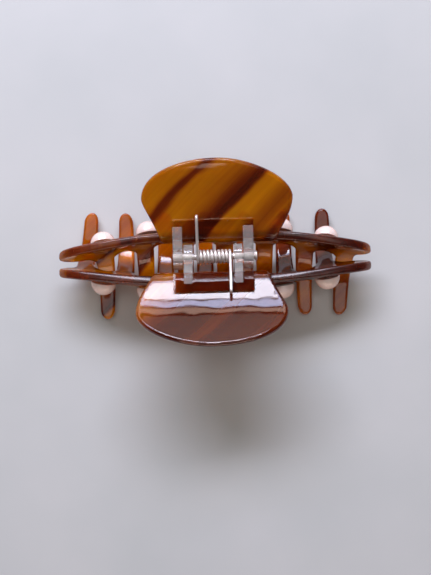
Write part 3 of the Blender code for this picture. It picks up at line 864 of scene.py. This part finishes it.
def build_jaws(pearl):
    pearl_mesh = make_pearl_mesh()
    streaks = {"back": BACK_STREAKS, "front": FRONT_STREAKS}
    plates = {"back": (LEAF_LEFT, LEAF_RIGHT), "front": (-LEAF_RIGHT, -LEAF_LEFT)}
    first = make_jaw_mesh("jaw_shell")
    for side, turn in SIDES.items():
        polished = tortoiseshell(f"tortoiseshell_{side}", streaks[side], 1)
        jaw = place_mesh(f"{side}_jaw_shell", first.copy(), turn, polished)
        # The second material, where a leaf is bonded on, has no shine and painted shade on its colour.
        jaw.data.materials.append(tortoiseshell(f"tortoiseshell_{side}_bonded_painted_shade", streaks[side], 0))
        mark_bonded(jaw.data, *plates[side])
        finish_piece(jaw, f"{side}_jaw", "tortoiseshell_acetate", f"jaw_{side}")
        for number, x in enumerate(PEARL_X, 1):
            place = turn @ outside_frame(x, PEARL_S) @ Matrix.Translation((0, 0, GAP))
            ball = place_mesh(f"{side}_pearl_ball_{number}", pearl_mesh.copy(), place, pearl)
            finish_piece(ball, f"{side}_jaw", "pearl", f"pearl_{side}_{number}")


def build_hinge():
    clear = clear_plastic("clear_hinge_plastic", 1.0, 1.3)
    # The ears' plastic is cloudier, so its pale colour shows as a painted highlight.
    ear_highlight = clear_plastic("ear_plastic_painted_highlight", 0.8, 1.5)
    up = Matrix.Translation(PIN_CENTRE)
    leaves = {"back": make_leaf("back_leaf_clear", (LEAF_LEFT, LEAF_RIGHT), OUTER_EARS),
              "front": make_leaf("front_leaf_clear", (-LEAF_RIGHT, -LEAF_LEFT),
                                 [(-right, -left) for left, right in INNER_EARS])}
    for side, leaf in leaves.items():
        leaf.matrix_world = SIDES[side] @ up
        leaf.data.materials.append(clear)
        leaf.data.materials.append(ear_highlight)
        finish_piece(leaf, f"{side}_jaw", "clear_plastic", f"hinge_leaf_{side}")

    pin = make_pin()
    pin.data.materials.append(steel("pin_steel", (0.15, 1, 1)))
    finish_piece(pin, "back_jaw", "hinge_steel", "hinge_pin")

    spring = make_spring()
    spring.data.materials.append(steel("spring_wire_steel", (1, 0.5, 0.5)))
    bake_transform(spring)
    finish_piece(spring, None, "spring_steel", "torsion_spring")


# ---- the floor, the light and the camera ----


def build_floor():
    shape = bmesh.new()
    corners = [(x * FLOOR_HALF, y * FLOOR_HALF, 0) for x, y in ((-1, -1), (1, -1), (1, 1), (-1, 1))]
    shape.faces.new([shape.verts.new(corner) for corner in corners])
    floor = to_object(shape, "floor")
    floor.data.materials.append(floor_material())


def softbox(name, azimuth, elevation, distance, size, watts, colour):
    """A rectangular light that faces the clip. Azimuth 0 is at the back and 90 on the left, in degrees."""
    a, e = math.radians(azimuth), math.radians(elevation)
    away = Vector((-math.sin(a) * math.cos(e), math.cos(a) * math.cos(e), math.sin(e)))
    light = bpy.data.lights.new(name, "AREA")
    light.shape = "RECTANGLE"
    light.size, light.size_y = size
    light.energy = watts
    light.color = colour
    lamp = bpy.data.objects.new(name, light)
    lamp.location = Vector((0, 0, 25 * MM)) + away * distance
    lamp.rotation_euler = away.to_track_quat("Z", "Y").to_euler()
    bpy.context.scene.collection.objects.link(lamp)


def build_lights():
    world = bpy.data.worlds.new("studio")
    world.use_nodes = True
    background = world.node_tree.nodes["Background"]
    background.inputs["Color"].default_value = (0.62, 0.62, 0.63, 1)
    background.inputs["Strength"].default_value = 0.09
    bpy.context.scene.world = world
    softbox("window", 8, 44.5, 0.9, (0.9, 0.17), 9.5, (0.85, 0.86, 1.0))
    softbox("window_low", 8, 35.5, 0.9, (0.9, 0.08), 2.6, (0.62, 0.70, 1.0))
    softbox("sill", 8, 29.5, 0.9, (0.9, 0.06), 0.7, (1.0, 0.72, 0.6))
    softbox("wall", 8, 12, 0.95, (1.4, 0.45), 1.9, (1.0, 0.95, 0.92))
    softbox("overhead", 0, 90, 1.2, (1.6, 0.75), 4.5, (1.0, 0.96, 0.93))
    softbox("front_fill", 180, 10, 0.9, (1.2, 0.25), 2.6, (1.0, 0.73, 0.60))


def build_camera():
    data = bpy.data.cameras.new("camera")
    data.lens = LENS
    data.sensor_width = SENSOR
    data.clip_start = 0.01
    camera = bpy.data.objects.new("camera", data)
    turn = Matrix.Rotation(CAMERA_YAW, 4, "Z")
    tilt = Matrix.Rotation(CAMERA_ROLL_Y, 4, "Y") @ Matrix.Rotation(CAMERA_TILT, 4, "X")
    camera.matrix_world = turn @ Matrix.Translation(CAMERA_PLACE) @ tilt
    bpy.context.scene.collection.objects.link(camera)
    bpy.context.scene.camera = camera


build_camera()
build_floor()
build_lights()
build_jaws(pearl_material())
build_hinge()
bpy.context.scene.view_settings.view_transform = "Standard"
